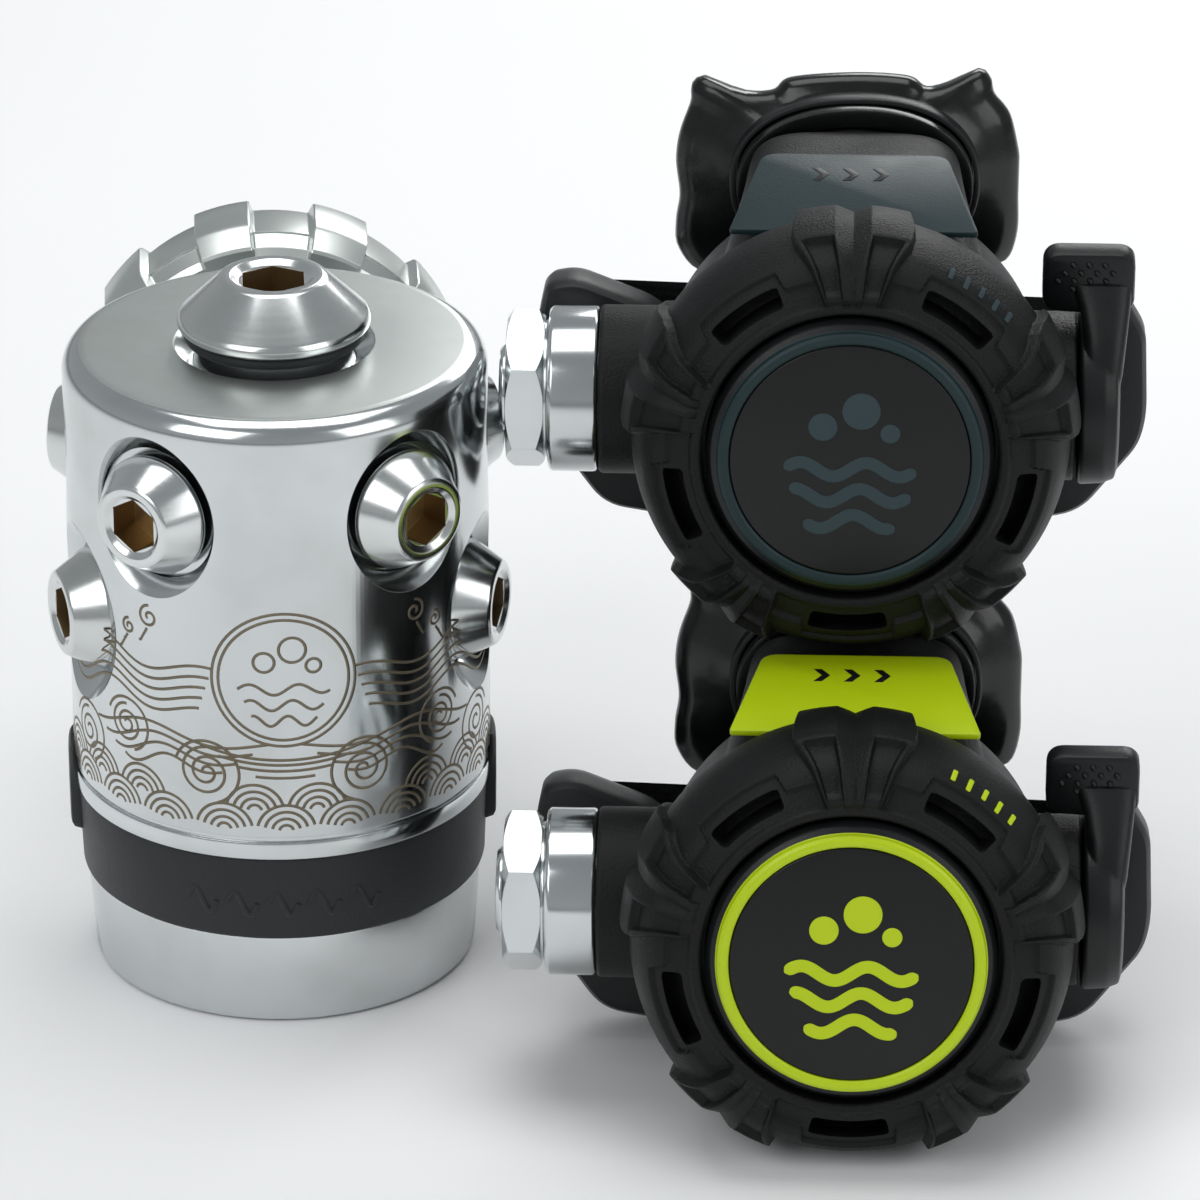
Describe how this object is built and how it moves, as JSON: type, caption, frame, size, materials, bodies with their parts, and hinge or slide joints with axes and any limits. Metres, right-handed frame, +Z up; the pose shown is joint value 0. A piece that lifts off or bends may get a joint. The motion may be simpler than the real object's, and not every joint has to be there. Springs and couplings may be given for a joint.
{
  "type": "scuba regulator set",
  "caption": "Scuba regulator set: a chromed first stage with a screw-in cylinder connection, and two second stages with purge buttons, levers and mouthpieces.",
  "frame": {"origin": "centre of the first stage cap face that it stands on", "axes": "+Z up the first stage barrel, +Y along the cylinder connection, away from the barrel; the second stages face -Y"},
  "size_m": [0.1505, 0.1452, 0.1153],
  "materials": {
    "chrome": "polished",
    "brass": "machined",
    "sintered_bronze": "sintered",
    "spring_steel": "satin",
    "black_plastic": "matte",
    "black_rubber": "matte",
    "black_silicone": "glossy",
    "clear_silicone": "satin",
    "teal_plastic": "satin",
    "lime_plastic": "satin"
  },
  "bodies": {
    "first_stage": {"first_stage_body": "chrome", "diaphragm_cap": "chrome", "diaphragm_clamp": "chrome", "grip_band": "black_rubber", "end_plug": "chrome", "low_pressure_plugs": "chrome", "high_pressure_plugs": "chrome", "plug_orings": "black_rubber", "din_nozzle": "chrome", "din_oring": "black_rubber", "inlet_filter": "sintered_bronze", "main_valve_spring": "spring_steel", "main_diaphragm": "black_rubber", "main_spring": "spring_steel", "spring_adjuster": "chrome", "environmental_diaphragm": "black_rubber"},
    "din_wheel": {"din_screw": "chrome", "din_handwheel": "chrome"},
    "first_stage_valve": {"main_valve": "brass", "valve_lifter": "brass", "spring_pad": "brass", "hydrostatic_transmitter": "black_plastic"},
    "octopus_second_stage": {"octopus_case": "black_plastic", "octopus_cover_ring": "black_plastic", "octopus_purge_spring": "spring_steel", "octopus_diaphragm_cover": "black_plastic", "octopus_diaphragm": "clear_silicone", "octopus_air_barrel": "chrome", "octopus_poppet_spring": "spring_steel", "octopus_orifice": "brass", "octopus_inlet_fitting": "chrome", "octopus_mouthpiece": "black_silicone", "octopus_mouthpiece_clamp": "black_plastic", "octopus_exhaust_tee": "black_rubber", "octopus_exhaust_valve": "clear_silicone", "octopus_trim_plate": "lime_plastic"},
    "octopus_purge_button_body": {"octopus_purge_button": "lime_plastic", "octopus_button_disc": "black_plastic"},
    "octopus_demand_lever_body": {"octopus_demand_lever": "spring_steel"},
    "octopus_poppet_body": {"octopus_poppet": "brass"},
    "octopus_venturi_lever_body": {"octopus_venturi_lever": "black_plastic"},
    "primary_second_stage": {"primary_case": "black_plastic", "primary_cover_ring": "black_plastic", "primary_purge_spring": "spring_steel", "primary_diaphragm_cover": "black_plastic", "primary_diaphragm": "clear_silicone", "primary_air_barrel": "chrome", "primary_poppet_spring": "spring_steel", "primary_orifice": "brass", "primary_inlet_fitting": "chrome", "primary_mouthpiece": "black_silicone", "primary_mouthpiece_clamp": "black_plastic", "primary_exhaust_tee": "black_rubber", "primary_exhaust_valve": "clear_silicone", "primary_trim_plate": "teal_plastic"},
    "primary_purge_button_body": {"primary_purge_button": "teal_plastic", "primary_button_disc": "black_plastic"},
    "primary_demand_lever_body": {"primary_demand_lever": "spring_steel"},
    "primary_poppet_body": {"primary_poppet": "brass"},
    "primary_venturi_lever_body": {"primary_venturi_lever": "black_plastic"}
  },
  "joints": [
    {"name": "din_wheel_spin", "type": "hinge", "parent": "first_stage", "child": "din_wheel", "pos_m": [0, 0.05, 0.0612], "axis": [0, 1, 0], "continuous": true},
    {"name": "first_stage_valve_lift", "type": "slide", "parent": "first_stage", "child": "first_stage_valve", "axis": [0, 0, 1], "range_m": [0, 0.0006], "stiffness_N_per_m": 4000, "deforming": ["main_spring", "main_valve_spring", "main_diaphragm", "environmental_diaphragm"]},
    {"name": "octopus_lift_off", "type": "slide", "parent": "first_stage", "child": "octopus_second_stage", "axis": [1, 0, 0], "range_m": [0, 0.15]},
    {"name": "octopus_purge_press", "type": "slide", "parent": "octopus_second_stage", "child": "octopus_purge_button_body", "axis": [0.0946, 0.9826, -0.1599], "range_m": [0, 0.0025], "stiffness_N_per_m": 1500, "springref_m": -0.001, "deforming": ["octopus_purge_spring", "octopus_diaphragm"]},
    {"name": "octopus_demand_lever_swing", "type": "hinge", "parent": "octopus_second_stage", "child": "octopus_demand_lever_body", "pos_m": [0.08511, -0.05496, 0.02852], "axis": [-0.0153, -0.1591, -0.9871], "range_deg": [0, 9]},
    {"name": "octopus_poppet_slide", "type": "slide", "parent": "octopus_second_stage", "child": "octopus_poppet_body", "axis": [0.9954, -0.0958, 0], "range_m": [0, 0.00135], "deforming": ["octopus_poppet_spring"]},
    {"name": "octopus_venturi_turn", "type": "hinge", "parent": "octopus_second_stage", "child": "octopus_venturi_lever_body", "pos_m": [0.10721, -0.04875, 0.02718], "axis": [-0.9954, 0.0958, 0], "range_deg": [0, 40]},
    {"name": "primary_lift_off", "type": "slide", "parent": "octopus_second_stage", "child": "primary_second_stage", "axis": [0, 0, 1], "range_m": [0, 0.15]},
    {"name": "primary_purge_press", "type": "slide", "parent": "primary_second_stage", "child": "primary_purge_button_body", "axis": [0.0955, 0.9913, -0.0906], "range_m": [0, 0.0025], "stiffness_N_per_m": 1500, "springref_m": -0.001, "deforming": ["primary_purge_spring", "primary_diaphragm"]},
    {"name": "primary_demand_lever_swing", "type": "hinge", "parent": "primary_second_stage", "child": "primary_demand_lever_body", "pos_m": [0.08763, -0.01603, 0.08346], "axis": [-0.0087, -0.0902, -0.9959], "range_deg": [0, 9]},
    {"name": "primary_poppet_slide", "type": "slide", "parent": "primary_second_stage", "child": "primary_poppet_body", "axis": [0.9954, -0.0958, 0], "range_m": [0, 0.00135], "deforming": ["primary_poppet_spring"]},
    {"name": "primary_venturi_turn", "type": "hinge", "parent": "primary_second_stage", "child": "primary_venturi_lever_body", "pos_m": [0.10973, -0.00975, 0.0827], "axis": [-0.9954, 0.0958, 0], "range_deg": [0, 40]}
  ],
  "couplings": [
    {"joint": "octopus_demand_lever_swing", "follows": "octopus_purge_press", "rad_per_m": 60},
    {"joint": "octopus_poppet_slide", "follows": "octopus_purge_press", "ratio": 0.52},
    {"joint": "primary_demand_lever_swing", "follows": "primary_purge_press", "rad_per_m": 60},
    {"joint": "primary_poppet_slide", "follows": "primary_purge_press", "ratio": 0.52}
  ]
}
